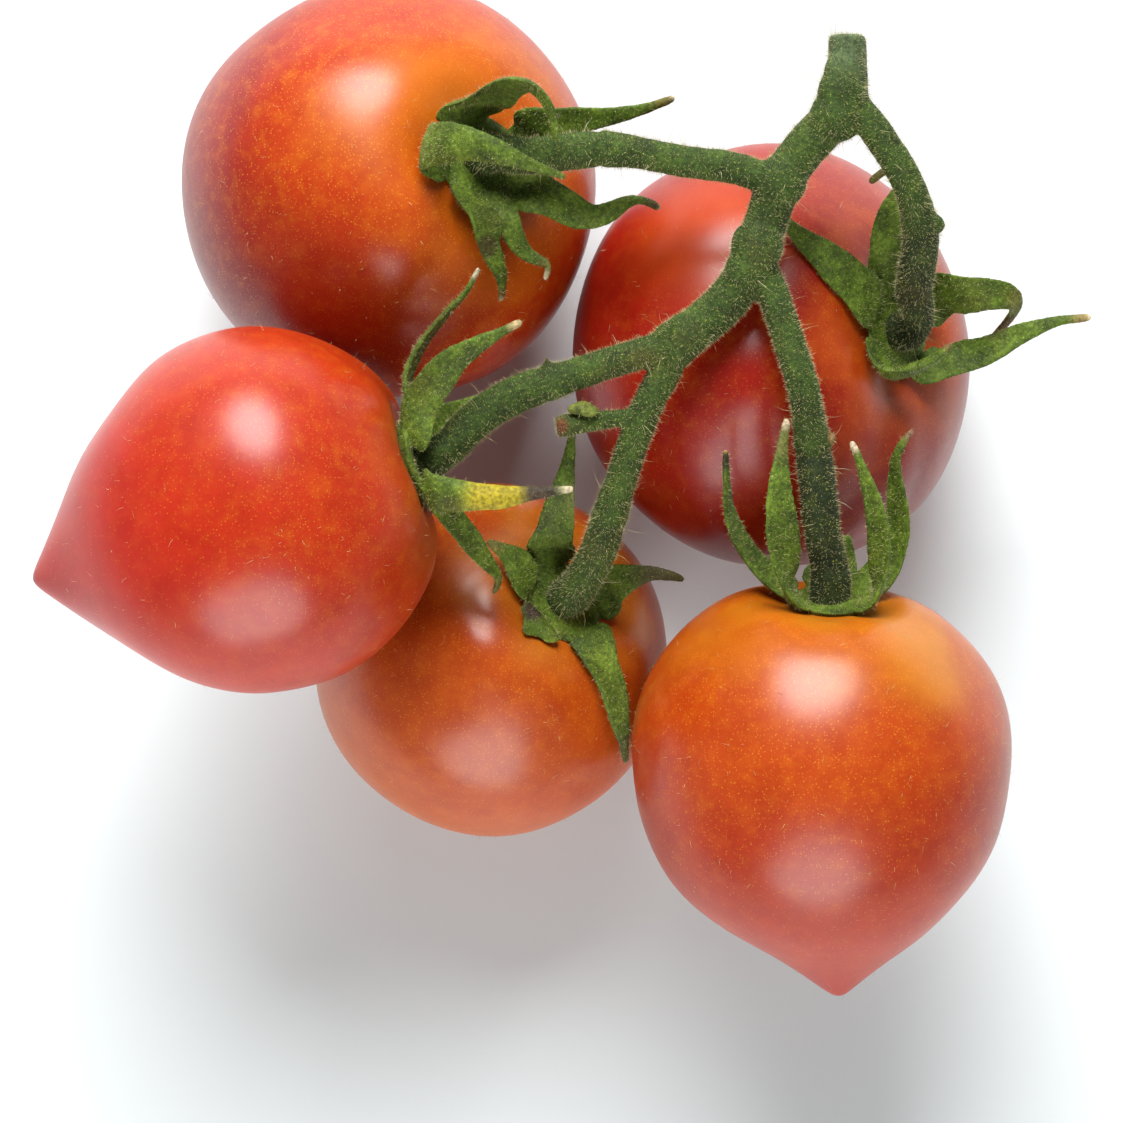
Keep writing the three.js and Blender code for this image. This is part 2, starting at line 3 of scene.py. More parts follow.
import bpy
import numpy as np
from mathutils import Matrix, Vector


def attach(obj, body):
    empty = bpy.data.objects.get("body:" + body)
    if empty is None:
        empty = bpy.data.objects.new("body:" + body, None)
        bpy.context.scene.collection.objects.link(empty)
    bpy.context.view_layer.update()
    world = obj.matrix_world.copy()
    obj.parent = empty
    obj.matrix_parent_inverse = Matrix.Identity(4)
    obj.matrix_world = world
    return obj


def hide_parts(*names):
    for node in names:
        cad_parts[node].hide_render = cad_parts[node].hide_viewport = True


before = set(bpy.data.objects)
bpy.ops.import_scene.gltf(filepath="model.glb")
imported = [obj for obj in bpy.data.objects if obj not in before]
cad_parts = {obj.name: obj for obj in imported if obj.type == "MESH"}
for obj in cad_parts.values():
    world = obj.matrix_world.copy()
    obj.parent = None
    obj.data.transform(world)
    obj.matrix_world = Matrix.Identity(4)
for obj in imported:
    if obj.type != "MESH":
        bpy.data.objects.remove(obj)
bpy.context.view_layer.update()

mm = 0.001

scene = bpy.context.scene
scene.view_settings.view_transform = "Standard"  # keeps the reds clean and the table white


def linear(hexColour):
    value = int(hexColour.lstrip("#"), 16)
    channels = [(value >> shift & 255) / 255 for shift in (16, 8, 0)]
    curved = [c / 12.92 if c <= 0.04045 else ((c + 0.055) / 1.055) ** 2.4 for c in channels]
    return (*curved, 1.0)


def addNode(tree, kind, settings=None, links=None):
    node = tree.nodes.new(kind)
    for name, value in (settings or {}).items():
        if isinstance(name, int) or name in node.inputs:
            node.inputs[name].default_value = value
        else:
            setattr(node, name, value)
    for name, source in (links or {}).items():
        tree.links.new(source, node.inputs[name])
    return node


def startMaterial(name):
    # a material with no nodes yet but the place on the piece
    material = bpy.data.materials.new(name)
    material.use_nodes = True
    tree = material.node_tree
    tree.nodes.clear()
    return material, tree, addNode(tree, "ShaderNodeTexCoord").outputs["Object"]


def onlySelect(*pieces):
    bpy.ops.object.select_all(action="DESELECT")
    for piece in pieces:
        piece.select_set(True)
    bpy.context.view_layer.objects.active = pieces[0]


def applyModifier(piece, kind, **settings):
    modifier = piece.modifiers.new(kind.lower(), kind)
    for name, value in settings.items():
        setattr(modifier, name, value)
    onlySelect(piece)
    bpy.ops.object.modifier_apply(modifier=modifier.name)


def cloudRipple(piece, size, depth):
    # soft uneven growth: size is from bump to bump, and both are in millimetres
    clouds = bpy.data.textures.new(f"{piece.name}Ripple", "CLOUDS")
    clouds.noise_basis = "IMPROVED_PERLIN"
    clouds.noise_scale = size * mm
    applyModifier(piece, "DISPLACE", texture=clouds, texture_coords="LOCAL", mid_level=0.5,
                  strength=depth * mm)


def copyOfNode(nodeName, pieceName):
    piece = bpy.data.objects.new(pieceName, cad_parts[nodeName].data.copy())
    scene.collection.objects.link(piece)
    piece.data.name = pieceName
    piece.data.materials.clear()
    onlySelect(piece)
    bpy.ops.object.mode_set(mode="EDIT")
    bpy.ops.mesh.select_all(action="SELECT")
    bpy.ops.mesh.remove_doubles(threshold=0.005 * mm)
    bpy.ops.mesh.tris_convert_to_quads(face_threshold=math.radians(60), shape_threshold=math.radians(70))
    bpy.ops.mesh.customdata_custom_splitnormals_clear()
    bpy.ops.object.mode_set(mode="OBJECT")
    bpy.ops.object.shade_smooth()
    return piece


def joinInto(piece, *others):
    onlySelect(piece, *others)
    bpy.ops.object.join()
    return piece


def pointsOf(piece):
    points = np.empty(len(piece.data.vertices) * 3, np.float32)
    piece.data.vertices.foreach_get("co", points)
    return points.reshape(-1, 3).astype(float)


def movePoints(piece, points):
    piece.data.vertices.foreach_set("co", points.astype(np.float32).ravel())
    piece.data.update()


def setValues(piece, name, values):
    attribute = piece.data.attributes.new(name, "FLOAT", "POINT")
    attribute.data.foreach_set("value", np.asarray(values, np.float32))


def softStep(values, low, high):
    share = np.clip((values - low) / (high - low), 0, 1)
    return share * share * (3 - 2 * share)


def paintColourPatches(piece, centre, colourPatches):
    # each colour patch is a place from the centre and a reach in millimetres, a colour and its strength;
    # most are real stains, a few are painted light and shade
    points = pointsOf(piece)
    colour = np.zeros((len(points), 3))
    cover = np.zeros(len(points))
    for place, reach, hexColour, strength in colourPatches:
        middle = np.array(centre) + np.array(place) * mm
        away = np.linalg.norm(points - middle, axis=1) / mm
        amount = strength * (1 - softStep(away, reach * 0.35, reach))
        total = amount + cover * (1 - amount)
        share = np.divide(amount, total, out=np.zeros_like(total), where=total > 0)[:, None]
        colour = colour * (1 - share) + np.array(linear(hexColour)[:3]) * share
        cover = total
    attribute = piece.data.attributes.new("colourPatch", "FLOAT_COLOR", "POINT")
    attribute.data.foreach_set("color", np.column_stack([colour, cover]).astype(np.float32).ravel())


def weightPoints(piece, name, weights):
    group = piece.vertex_groups.new(name=name)
    for index in np.flatnonzero(weights > 0):
        group.add([int(index)], float(weights[index]), "REPLACE")
    return group.name


def rideAndSlot(piece, slotName, *standsFor):
    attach(piece, "root")
    if standsFor:
        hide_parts(*standsFor)


# Camera: straight above the table
cameraSet = {
    "aim": (-0.4235, -6.7847), "height": 420, "sensor": 36,
    "viewWidth": 102.1, "viewLevel": 17.5,  # the view is this wide at this height above the table
}
bpy.ops.object.camera_add(
    location=(cameraSet["aim"][0] * mm, cameraSet["aim"][1] * mm, cameraSet["height"] * mm),
    rotation=(0, 0, 0),
)
camera = bpy.context.object
camera.name = "tableCamera"
camera.data.sensor_width = cameraSet["sensor"]
camera.data.lens = (cameraSet["sensor"] * (cameraSet["height"] - cameraSet["viewLevel"])
                    / cameraSet["viewWidth"])
camera.data.clip_start = 0.01
scene.camera = camera
print("camera set")


# Tomatoes: ripe skin is smooth, waxy and slightly see-through, so light softens inside the flesh.
# Along a fruit, 0 is the tip of its beak and 1 is its shoulder. Furrows are (turn, depth, width), swells
# are (place, reach, height) and colour patches are (place, reach, colour, strength): most patches are the
# fruit's own colour, one is painted shadow and one is partly painted light. Places are in millimetres
# from its middle, turns in degrees.
outlineEnds = (-1.29, 0.86)  # beak and shoulder, as shares of a fruit's length from its middle
calyxSeat = (0.825, 0.3)  # where the calyx sits: a share of the length, and millimetres more
tomatoSet = {
    "back_left": {
        "stem": (0.5, 0.11, 0.86), "radius": 18.9, "slimness": 1,
        "colours": [(0, "#a0241a"), (0.35, "#92160c"), (0.66, "#9a1c0b"), (0.86, "#b4380d"),
                    (1, "#c05c12")],
        "specks": 1.35, "lobes": 0.2, "furrows": [], "swells": [],
        # the dark red patch on its side towards the left tomato is painted shadow cast by that tomato; the
        # orange patch by the calyx is its own colour
        "colourPatches": [((5.1, 8.2, 16.2), 6.5, "#c86c10", 0.5), ((-5.2, -11.2, 14.3), 10, "#84120a", 0.45)],
    },
    "back_right": {
        "stem": (0.69, 0.11, 0.71), "radius": 19.5, "slimness": 0.88,
        "colours": [(0, "#921c14"), (0.35, "#9a1a0d"), (0.75, "#9c180b"), (0.95, "#981e0b"),
                    (1, "#ac400e")],
        "specks": 0.6, "lobes": 0.2, "furrows": [(16, 0.4, 2.6), (-14, 0.3, 2.2)],
        "swells": [((-2.7, -2.6, 18.8), 3.0, 0.8)],
        # the orange patch on its upper left is partly the fruit's own orange and partly painted light,
        # where the key softbox falls on it
        "colourPatches": [((-7, 10, 13), 9.5, "#ba440f", 0.65)],
    },
    "centre": {
        "stem": (0.46, 0.38, 0.8), "radius": 16.2, "slimness": 1,
        "colours": [(0, "#ba581c"), (0.35, "#be5c14"), (0.7, "#b44a10"), (0.93, "#ae4810"),
                    (1, "#b46416")],
        "specks": 1.0, "lobes": 0.22, "furrows": [(232, 0.3, 1.8)],
        "swells": [((-0.4, 1.0, 15.8), 2.5, 0.75), ((6.5, -0.8, 14.4), 2.6, 0.4)], "colourPatches": [],
    },
    "left": {
        "stem": (0.95, 0.29, 0.08), "radius": 16.1, "slimness": 1,
        "colours": [(0, "#aa2826"), (0.2, "#b8281a"), (0.6, "#b22c0e"), (0.93, "#b0300d"),
                    (1, "#b03c10")],
        "specks": 0.8, "lobes": 0.2, "furrows": [],
        "swells": [((-13.9, 9.5, 1), 4.5, -0.9), ((-10.9, -13.5, 0), 3.5, -0.5)], "colourPatches": [],
    },
    "front_right": {
        "stem": (0.04, 0.955, 0.29), "radius": 17, "slimness": 1,
        "colours": [(0, "#a42410"), (0.15, "#aa300d"), (0.5, "#a8320a"), (0.78, "#b0420c"),
                    (0.95, "#b65c0e"), (1, "#b96e12")],
        "specks": 1.1, "lobes": 0.25, "furrows": [],
        "swells": [((12.2, -13.9, 0), 3.5, -0.6), ((15.7, 7.1, 0), 4, 0.45), ((-12.8, -11, 0), 4, 0.45)],
        "colourPatches": [((8.8, 9.1, 11.3), 6.5, "#c88216", 0.45), ((-7, 11, 9), 5, "#b05a10", 0.3)],
    },
}
skinSet = {
    # broad unevenness of the fruit: the way each wave runs, its length and its height
    "waves": [((0.8, 0.3, 0.5), 14, 0.04), ((-0.4, 0.9, 0.2), 18, 0.06), ((0.2, -0.5, 0.85), 12, 0.03),
              ((0.6, 0.7, -0.4), 23, 0.1)],
    "ripening": 11,  # patches that are riper or less ripe than the rest
    "mottle": 3.2,
    "mottleColour": "#d8a08c",
    "cloud": 1.5,
    "cloudColour": "#c4640e",
    "cloudShare": 0.48,
    "speckSpacing": 0.23,  # from one pale cell cluster to the next
    "speckWidth": 0.36,  # as a share of the spacing, as is the bright core
    "speckCore": 0.08,
    "speckColour": "#e2922c",
    "speckShare": 0.72,
    "styleScar": (0.9, "#5a2a14", 0.8),  # where the flower was
    "pore": 0.5,
    "poreDepth": 0.02,
    "lightReach": 1.6,  # how far light spreads in the flesh
    "roughness": (0.285, 0.34),
}


def tomatoSkin(name, fruit):
    # Ripe tomato skin: a thin waxy cuticle over red flesh, which shines softly and lets light in, with fine
    # golden specks below the surface
    skin, tree, place = startMaterial(f"ripeTomatoSkin_{name}")
    along = addNode(tree, "ShaderNodeAttribute", {"attribute_name": "along"}).outputs["Fac"]
    drift = addNode(tree, "ShaderNodeTexNoise", {"Scale": 1 / (skinSet["ripening"] * mm), "Detail": 2},
                    {"Vector": place})
    shift = addNode(tree, "ShaderNodeMath", {"operation": "MULTIPLY_ADD", 1: 0.3, 2: -0.15},
                    {0: drift.outputs["Fac"]})
    ripeness = addNode(tree, "ShaderNodeMath", {"operation": "ADD"}, {0: along, 1: shift.outputs[0]})
    ramp = addNode(tree, "ShaderNodeValToRGB", {}, {"Fac": ripeness.outputs[0]})
    ramp.color_ramp.interpolation = "EASE"
    stops = ramp.color_ramp.elements
    for extra in fruit["colours"][2:]:
        stops.new(extra[0])
    for stop, (position, hexColour) in zip(stops, fruit["colours"]):
        stop.position = position
        stop.color = linear(hexColour)

    mottle = addNode(tree, "ShaderNodeTexNoise", {"Scale": 1 / (skinSet["mottle"] * mm), "Detail": 4,
                                                  "Roughness": 0.6}, {"Vector": place})
    mottleRange = addNode(tree, "ShaderNodeMapRange", {"interpolation_type": "SMOOTHSTEP",
                                                       "From Min": 0.3, "From Max": 0.75,
                                                       "To Max": 0.45},
                          {"Value": mottle.outputs["Fac"]})
    deeper = addNode(tree, "ShaderNodeMix", {"data_type": "RGBA", "blend_type": "MULTIPLY",
                                             7: linear(skinSet["mottleColour"])},
                     {0: mottleRange.outputs["Result"], 6: ramp.outputs["Color"]})

    # golden clouds in the flesh, and golden specks, both thickest towards the shoulder
    density = addNode(tree, "ShaderNodeMapRange", {"From Min": 0.2, "From Max": 0.95, "To Min": 0.25},
                      {"Value": ripeness.outputs[0]})
    clouds = addNode(tree, "ShaderNodeTexNoise", {"Scale": 1 / (skinSet["cloud"] * mm), "Detail": 5,
                                                  "Roughness": 0.6}, {"Vector": place})
    cloudRange = addNode(tree, "ShaderNodeMapRange", {"interpolation_type": "SMOOTHSTEP",
                                                      "From Min": 0.42, "From Max": 0.78,
                                                      "To Max": skinSet["cloudShare"] * fruit["specks"]},
                         {"Value": clouds.outputs["Fac"]})
    cloudShare = addNode(tree, "ShaderNodeMath", {"operation": "MULTIPLY"},
                         {0: cloudRange.outputs["Result"], 1: density.outputs["Result"]})
    clouded = addNode(tree, "ShaderNodeMix", {"data_type": "RGBA", 7: linear(skinSet["cloudColour"])},
                      {0: cloudShare.outputs[0], 6: deeper.outputs[2]})
    cells = addNode(tree, "ShaderNodeTexVoronoi", {"Scale": 1 / (skinSet["speckSpacing"] * mm)},
                    {"Vector": place})
    dot = addNode(tree, "ShaderNodeMapRange", {"From Min": skinSet["speckWidth"],
                                               "From Max": skinSet["speckCore"]},
                  {"Value": cells.outputs["Distance"]})
    chance = addNode(tree, "ShaderNodeSeparateColor", {}, {"Color": cells.outputs["Color"]})
    shown = addNode(tree, "ShaderNodeMath", {"operation": "LESS_THAN"},
                    {0: chance.outputs["Red"], 1: density.outputs["Result"]})
    bright = addNode(tree, "ShaderNodeMath", {"operation": "MULTIPLY"},
                     {0: dot.outputs["Result"], 1: shown.outputs[0]})
    vary = addNode(tree, "ShaderNodeMath", {"operation": "MULTIPLY"},
                   {0: bright.outputs[0], 1: chance.outputs["Green"]})
    amount = addNode(tree, "ShaderNodeMath", {"operation": "MULTIPLY",
                                              1: fruit["specks"] * skinSet["speckShare"]},
                     {0: vary.outputs[0]})
    specked = addNode(tree, "ShaderNodeMix", {"data_type": "RGBA", 7: linear(skinSet["speckColour"])},
                      {0: amount.outputs[0], 6: clouded.outputs[2]})

    colourPatch = addNode(tree, "ShaderNodeAttribute", {"attribute_name": "colourPatch"})
    patched = addNode(tree, "ShaderNodeMix", {"data_type": "RGBA"},
                      {0: colourPatch.outputs["Alpha"], 6: specked.outputs[2], 7: colourPatch.outputs["Color"]})

    pores = addNode(tree, "ShaderNodeTexNoise", {"Scale": 1 / (skinSet["pore"] * mm), "Detail": 3},
                    {"Vector": place})
    fine = addNode(tree, "ShaderNodeBump", {"Strength": 0.25, "Distance": skinSet["poreDepth"] * mm},
                   {"Height": pores.outputs["Fac"]})
    bloom = addNode(tree, "ShaderNodeMapRange", {"interpolation_type": "SMOOTHSTEP",
                                                 "From Min": 0.15, "From Max": 0.85,
                                                 "To Min": skinSet["roughness"][0],
                                                 "To Max": skinSet["roughness"][1]},
                    {"Value": drift.outputs["Fac"]})
    shader = addNode(tree, "ShaderNodeBsdfPrincipled", {
        "Subsurface Weight": 0.25, "Subsurface Radius": (1.0, 0.3, 0.15),
        "Subsurface Scale": skinSet["lightReach"] * mm, "IOR": 1.45,
    }, {"Base Color": patched.outputs[2], "Roughness": bloom.outputs["Result"],
        "Normal": fine.outputs["Normal"]})
    addNode(tree, "ShaderNodeOutputMaterial", {}, {"Surface": shader.outputs["BSDF"]})
    return skin


def acrossStem(fruit):
    # two directions square to a fruit's stem line, from which bearings round it are measured
    flatSide = np.cross(fruit["axis"], (0, 0, 1))
    flatSide /= np.linalg.norm(flatSide)
    return flatSide, np.cross(flatSide, fruit["axis"])


def aroundStem(fruit, points):
    # how far out from the stem line each point is, and its bearing round it
    away = points - fruit["centre"]
    flatSide, rise = acrossStem(fruit)
    return np.hypot(away @ flatSide, away @ rise), np.arctan2(away @ rise, away @ flatSide)


def shapeShoulder(tomato, fruit, along):
    # five shallow lobes round the stem, broad uneven growth, and the furrows and swellings of some fruits
    points = pointsOf(tomato)
    normals = np.empty(len(points) * 3, np.float32)
    tomato.data.vertices.foreach_get("normal", normals)
    out, bearing = aroundStem(fruit, points)
    depth = fruit["lobes"] * (0.5 - 0.5 * np.cos(5 * bearing + 0.7)) * softStep(out / mm, 2, 5)
    depth *= softStep(along, 0.72, 0.95)
    for turn, deep, wide in fruit["furrows"]:
        offLine = out / mm * np.sin(bearing - math.radians(turn))
        sameSide = np.cos(bearing - math.radians(turn)) > 0
        depth += deep * np.exp(-(offLine / wide) ** 2) * sameSide * softStep(along, 0.55, 0.92)
    for way, wavelength, height in skinSet["waves"]:
        start = 2 * fruit["radius"]  # differs from fruit to fruit
        depth += height * np.sin(points @ np.array(way) / mm * math.tau / wavelength + start)
    for place, reach, height in fruit["swells"]:
        away = np.linalg.norm(points - fruit["centre"] - np.array(place) * mm, axis=1) / mm
        depth -= height * np.exp(-0.5 * (away / reach) ** 2)
    movePoints(tomato, points - normals.reshape(-1, 3) * depth[:, None] * mm)


def makeTomato(name, fruit):
    tomato = copyOfNode(f"tomato_{name}", f"skin_{name}")
    axis = np.array(Vector(fruit["stem"]).normalized())
    points = pointsOf(tomato)
    distance = points @ axis
    rim = points[distance > distance.max() - 0.2 * mm]
    length = fruit["radius"] * fruit["slimness"] * mm
    fruit["axis"] = axis
    fruit["centre"] = rim.mean(axis=0) - axis * outlineEnds[1] * length
    fruit["calyx"] = fruit["centre"] + axis * (calyxSeat[0] * length + calyxSeat[1] * mm)
    applyModifier(tomato, "SUBSURF", levels=3, render_levels=3)
    points = pointsOf(tomato)
    beakEnd, shoulderEnd = outlineEnds
    along = ((points - fruit["centre"]) @ axis / length - beakEnd) / (shoulderEnd - beakEnd)
    shapeShoulder(tomato, fruit, along)
    setValues(tomato, "along", along)
    tip = (points[along.argmin()] - fruit["centre"]) / mm
    paintColourPatches(tomato, fruit["centre"], fruit["colourPatches"] + [(tip, *skinSet["styleScar"])])
    tomato.data.materials.append(tomatoSkin(name, fruit))
    rideAndSlot(tomato, f"tomato_{name}_skin", f"tomato_{name}")
    return tomato


skins = {name: makeTomato(name, fruit) for name, fruit in tomatoSet.items()}
print("tomatoes shaped and coloured")


# Green parts: soft young stem, matt and downy, with yellow gland dots and a darker grain
greenSet = {
    "vine": {"dark": "#283612", "main": "#344818", "light": "#44591e", "dots": "#9a9c46",
             "blush": "#463a1e", "roughness": 0.8},
    "pedicel": {"dark": "#1a240f", "main": "#283418", "light": "#3c481c", "dots": "#a8a63c",
                "blush": "#33250f", "roughness": 0.8},
    "sepal": {"dark": "#33430f", "main": "#4c6117", "light": "#687f26", "dots": "#98a448",
              "blush": "#56501c", "roughness": 0.65},
    "withered_flower": {"dark": "#3a3016", "main": "#4f5a20", "light": "#747a30", "dots": "#98904a",
                        "blush": "#6a3a1e", "roughness": 0.7},
}
stemTexture = {
    "tone": 2.6, "patch": 7, "grain": 0.32, "grainDepth": 0.12, "lightReach": 0.6,
    # gland dots, drawn a little wider than real so that they show, with widths as shares of the spacing
    "glandSpacing": 0.3, "glandWidth": 0.3, "glandCore": 0.08,
}


def downyGreen(name):
    # Living green stem or leaf: soft and matt, grainy where its down shades it, dotted with yellow glands
    look = greenSet[name]
    green, tree, place = startMaterial(f"downyGreen_{name}")
    broad = addNode(tree, "ShaderNodeTexNoise", {"Scale": 1 / (stemTexture["tone"] * mm), "Detail": 6,
                                                 "Roughness": 0.7}, {"Vector": place})
    tones = addNode(tree, "ShaderNodeValToRGB", {}, {"Fac": broad.outputs["Fac"]})
    stops = tones.color_ramp.elements
    stops.new(0.5)
    for stop, position, tone in zip(stops, (0.34, 0.5, 0.68), ("dark", "main", "light")):
        stop.position = position
        stop.color = linear(look[tone])
    patches = addNode(tree, "ShaderNodeTexNoise", {"Scale": 1 / (stemTexture["patch"] * mm), "Detail": 3},
                      {"Vector": place})
    blushShare = addNode(tree, "ShaderNodeMapRange", {"From Min": 0.58, "From Max": 0.75, "To Max": 0.5},
                         {"Value": patches.outputs["Fac"]})
    blushed = addNode(tree, "ShaderNodeMix", {"data_type": "RGBA", 7: linear(look["blush"])},
                      {0: blushShare.outputs["Result"], 6: tones.outputs["Color"]})
    glands = addNode(tree, "ShaderNodeTexVoronoi", {"Scale": 1 / (stemTexture["glandSpacing"] * mm)},
                     {"Vector": place})
    glandDot = addNode(tree, "ShaderNodeMapRange", {"From Min": stemTexture["glandWidth"],
                                                    "From Max": stemTexture["glandCore"],
                                                    "To Max": 0.9},
                       {"Value": glands.outputs["Distance"]})
    glandPick = addNode(tree, "ShaderNodeSeparateColor", {}, {"Color": glands.outputs["Color"]})
    glandShare = addNode(tree, "ShaderNodeMath", {"operation": "MULTIPLY"},
                         {0: glandDot.outputs["Result"], 1: glandPick.outputs["Red"]})
    dotted = addNode(tree, "ShaderNodeMix", {"data_type": "RGBA", 7: linear(look["dots"])},
                     {0: glandShare.outputs[0], 6: blushed.outputs[2]})
    colourPatch = addNode(tree, "ShaderNodeAttribute", {"attribute_name": "colourPatch"})
    edge = addNode(tree, "ShaderNodeMath", {"operation": "MULTIPLY_ADD", 1: 0.5, 2: -0.25},
                   {0: broad.outputs["Fac"]})
    cover = addNode(tree, "ShaderNodeMath", {"operation": "ADD", "use_clamp": True},
                    {0: colourPatch.outputs["Alpha"], 1: edge.outputs[0]})
    bound = addNode(tree, "ShaderNodeMath", {"operation": "MULTIPLY", "use_clamp": True},
                    {0: cover.outputs[0], 1: colourPatch.outputs["Alpha"]})
    patched = addNode(tree, "ShaderNodeMix", {"data_type": "RGBA"},
                      {0: bound.outputs[0], 6: dotted.outputs[2], 7: colourPatch.outputs["Color"]})
    grain = addNode(tree, "ShaderNodeTexNoise", {"Scale": 1 / (stemTexture["grain"] * mm), "Detail": 4},
                    {"Vector": place})
    shade = addNode(tree, "ShaderNodeMapRange", {"From Min": 0.32, "From Max": 0.68, "To Min": 0.55,
                                                 "To Max": 1.38}, {"Value": grain.outputs["Fac"]})
    grained = addNode(tree, "ShaderNodeMix", {"data_type": "RGBA", "blend_type": "MULTIPLY", 0: 1.0},
                      {6: patched.outputs[2], 7: shade.outputs["Result"]})
    bump = addNode(tree, "ShaderNodeBump", {"Strength": 0.6, "Distance": stemTexture["grainDepth"] * mm},
                   {"Height": grain.outputs["Fac"]})
    shader = addNode(tree, "ShaderNodeBsdfPrincipled", {
        "Roughness": look["roughness"], "Subsurface Weight": 0.12, "Subsurface Radius": (0.5, 0.8, 0.2),
        "Subsurface Scale": stemTexture["lightReach"] * mm, "Sheen Weight": 0.05, "Sheen Roughness": 0.5,
        "Sheen Tint": linear("#dfe6b8"), "IOR": 1.33,
    }, {"Base Color": grained.outputs[2], "Normal": bump.outputs["Normal"]})
    addNode(tree, "ShaderNodeOutputMaterial", {}, {"Surface": shader.outputs["BSDF"]})
    return green


greens = {name: downyGreen(name) for name in greenSet}

# Vine: knuckles where the fruit would snap off, in millimetres from each calyx
vineSet = {
    "knuckles": {
        "back_left": (11.3, 0.2, 5.4), "back_right": (1.4, 8.6, 10.2), "left": (11.6, 6.9, -0.3),
        "centre": (3.95, 7.1, 7), "front_right": (-1.7, 13.6, 3.6),
    },
    "knuckleRadius": 1.6,
    # old leaf and flower scars, from their knuckle
    "nubs": [("front_right", (1.45, 0.6, 0.7), 0.62), ("left", (0.1, 1.55, 0.7), 0.5),
             ("left", (0.0, 2.1, 0.9), 0.3), ("back_right", (1.3, 0.1, 0.4), 0.9),
             ("centre", (1.3, 0.4, 0.6), 0.5)],
    "scars": [((0.1, 2.2, 0.9), "left", 0.9, "#4a3a1a", 0.7),
              ((1.7, 0.8, 0.8), "front_right", 1.1, "#8a6a44", 0.9)],
    "blushes": [((-0.77, 4.75, 40.6), 1.5, "#6e3222", 0.85), ((6.6, 10.0, 41.2), 2.8, "#5a4322", 0.55),
                ((3.6, 8.6, 41.0), 2.6, "#54401f", 0.4), ((12.6, 24.6, 42.0), 2.2, "#54401f", 0.35)],
    "forks": [((23.0, 31.2, 42.8), 2.35), ((23.4, 33.2, 43.0), 2.2), ((23.6, 35.0, 43.2), 1.95),
              ((18.3, 25.7, 41.7), 2.3), ((16.3, 20.2, 41.0), 2.3), ((15.4, 18.2, 40.9), 1.9),
              ((10.4, 12.7, 40.5), 2.0), ((9.6, 11.4, 40.5), 1.6)],
    "flatness": 0.8,  # forks and nubs are wider than they are high
    "cutTaper": (7.5, 0.18),  # the stem narrows towards its cut, over this length and by this share
    "cutSmoothing": 34,
    "grain": 0.2,
    "ripples": [(1.6, 0.2), (0.6, 0.08)],
    "swell": 0.18,
    "stalkSwell": 0.24,
    "smoothing": 20,
    # the grey skin round the cut and its dry pith, from the middle of the cut
    "cutStains": [((0, -1, 0), 5.5, "#66755a", 0.6), ((0, 0.6, 0), 1.9, "#a3a284", 0.8)],
    "darkStalks": ("back_right", "front_right"),
    "stalkFoot": 1.75,  # half the width of a stalk where it stands in its calyx
    "footStain": ((0, 0, 0), 5.5, "#1c2610", 0.55),
}


def fromCalyx(name, offset):
    return Vector(tomatoSet[name]["calyx"]) + Vector(offset) * mm


def fromKnuckle(name, offset):
    return fromCalyx(name, Vector(vineSet["knuckles"][name]) + Vector(offset))


def addRound(place, radius, flatness):
    bpy.ops.mesh.primitive_uv_sphere_add(segments=24, ring_count=16, radius=radius * mm,
                                         location=place, scale=(1, 1, flatness))
    return bpy.context.object


def narrowCut(vine):
    # the stem narrows towards its cut, whose edge is worn round
    points = pointsOf(vine)
    cutEnd = points[points[:, 1] > points[:, 1].max() - 0.6 * mm].mean(axis=0)
    reach, narrowing = vineSet["cutTaper"]
    below = points[:, 1].max() - points[:, 1]
    high, low = (points[abs(below - depth * mm) < 0.5 * mm].mean(axis=0) for depth in (2.5, reach))
    stemWay = (low - high) / np.linalg.norm(low - high)
    fromCut = (points - cutEnd) @ stemWay / mm
    onLine = high + np.outer((points - high) @ stemWay, stemWay)
    width = np.where(fromCut < reach, 1 - narrowing * (1 - softStep(fromCut, 0, reach)), 1)
    movePoints(vine, onLine + (points - onLine) * width[:, None])
    away = np.linalg.norm(points - cutEnd, axis=1) / mm
    worn = weightPoints(vine, "cutEnd", 1 - softStep(away, 1.6, 3.6))
    applyModifier(vine, "SMOOTH", factor=0.5, iterations=vineSet["cutSmoothing"], vertex_group=worn)
    vine.vertex_groups.clear()
    return cutEnd


def makeVine():
    vine = copyOfNode("vine", "greenVine")
    flat = vineSet["flatness"]
    rounds = [(fromCalyx(name, offset), vineSet["knuckleRadius"], 1)
              for name, offset in vineSet["knuckles"].items()]
    rounds += [(Vector(place) * mm, radius, flat) for place, radius in vineSet["forks"]]
    rounds += [(fromKnuckle(name, offset), radius, flat) for name, offset, radius in vineSet["nubs"]]
    bumps = [addRound(*each) for each in rounds]
    applyModifier(vine, "DISPLACE", mid_level=0, strength=vineSet["swell"] * mm)
    joinInto(vine, *bumps)
    applyModifier(vine, "REMESH", mode="VOXEL", voxel_size=vineSet["grain"] * mm, use_smooth_shade=True)
    applyModifier(vine, "SMOOTH", factor=0.5, iterations=vineSet["smoothing"])
    for size, depth in vineSet["ripples"]:
        cloudRipple(vine, size, depth)
    cutEnd = narrowCut(vine)
    colourPatches = list(vineSet["cutStains"])
    for offset, name, *look in vineSet["scars"]:
        colourPatches.append(((np.array(fromKnuckle(name, offset)) - cutEnd) / mm, *look))
    for place, *look in vineSet["blushes"]:
        colourPatches.append(((np.array(place) * mm - cutEnd) / mm, *look))
    paintColourPatches(vine, cutEnd, colourPatches)
    vine.data.materials.append(greens["vine"])
    rideAndSlot(vine, "vine", "vine")
    return vine


